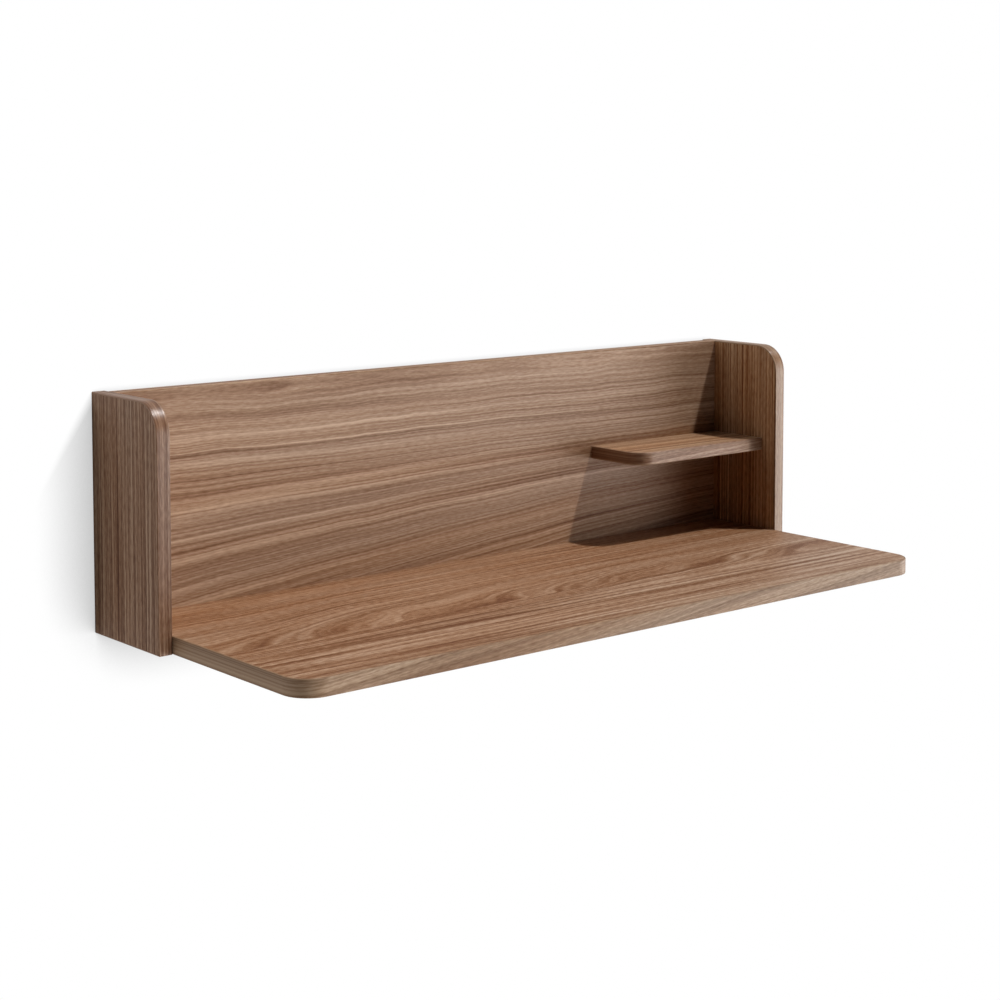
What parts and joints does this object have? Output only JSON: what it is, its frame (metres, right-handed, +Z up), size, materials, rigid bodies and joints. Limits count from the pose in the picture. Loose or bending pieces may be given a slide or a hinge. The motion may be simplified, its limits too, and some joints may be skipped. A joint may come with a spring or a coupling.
{
  "type": "floating wall desk",
  "caption": "Wall-hung writing desk of veneered boards: rounded side panels, a back panel, a deep desktop and a small side shelf, hung on an interlocking rail.",
  "frame": {"origin": "middle of the wall rail's line of screw holes, on the wall plane", "axes": "+X along the wall to the right as one faces the desk, +Y into the wall, +Z up"},
  "size_m": [1.1, 0.43, 0.3062],
  "materials": {
    "veneer": "walnut veneer, matt lacquer",
    "edge_band": "walnut edge band, matt lacquer",
    "core": "raw fibreboard",
    "dowel": "raw beech",
    "rail": "mill-finished extrusion",
    "cam": "die-cast zinc",
    "steel": "bright zinc plate",
    "cap": "brown plastic"
  },
  "bodies": {
    "wall_rail": {"wall_rail": "rail"},
    "desk": {"desk_rail": "rail", "left_side_core": "core", "left_side_outer_veneer": "veneer", "left_side_inner_veneer": "veneer", "left_side_bottom_band": "edge_band", "left_side_edge_band": "edge_band", "right_side_core": "core", "right_side_outer_veneer": "veneer", "right_side_inner_veneer": "veneer", "right_side_bottom_band": "edge_band", "right_side_edge_band": "edge_band", "back_panel_core": "core", "back_panel_front_veneer": "veneer", "back_panel_rear_veneer": "veneer", "back_panel_edge_band": "edge_band", "desktop_core": "core", "desktop_top_veneer": "veneer", "desktop_bottom_veneer": "veneer", "desktop_edge_band": "edge_band", "shelf_core": "core", "shelf_top_veneer": "veneer", "shelf_bottom_veneer": "veneer", "shelf_edge_band": "edge_band", "desktop_end_cam_locks": "cam", "desktop_end_cam_bolts": "steel", "desktop_end_dowels": "dowel", "back_end_cam_locks": "cam", "back_end_cam_bolts": "steel", "back_end_dowels": "dowel", "back_foot_cam_locks": "cam", "back_foot_cam_bolts": "steel", "back_foot_dowels": "dowel", "shelf_end_cam_locks": "cam", "shelf_end_cam_bolts": "steel", "shelf_end_dowels": "dowel", "shelf_screws": "steel", "desk_rail_screws": "steel", "desktop_cam_caps": "cap", "shelf_cam_caps": "cap"}
  },
  "joints": [
    {"name": "lift_off", "type": "slide", "parent": "wall_rail", "child": "desk", "axis": [0, 0, 1], "range_m": [0, 0.013]}
  ]
}
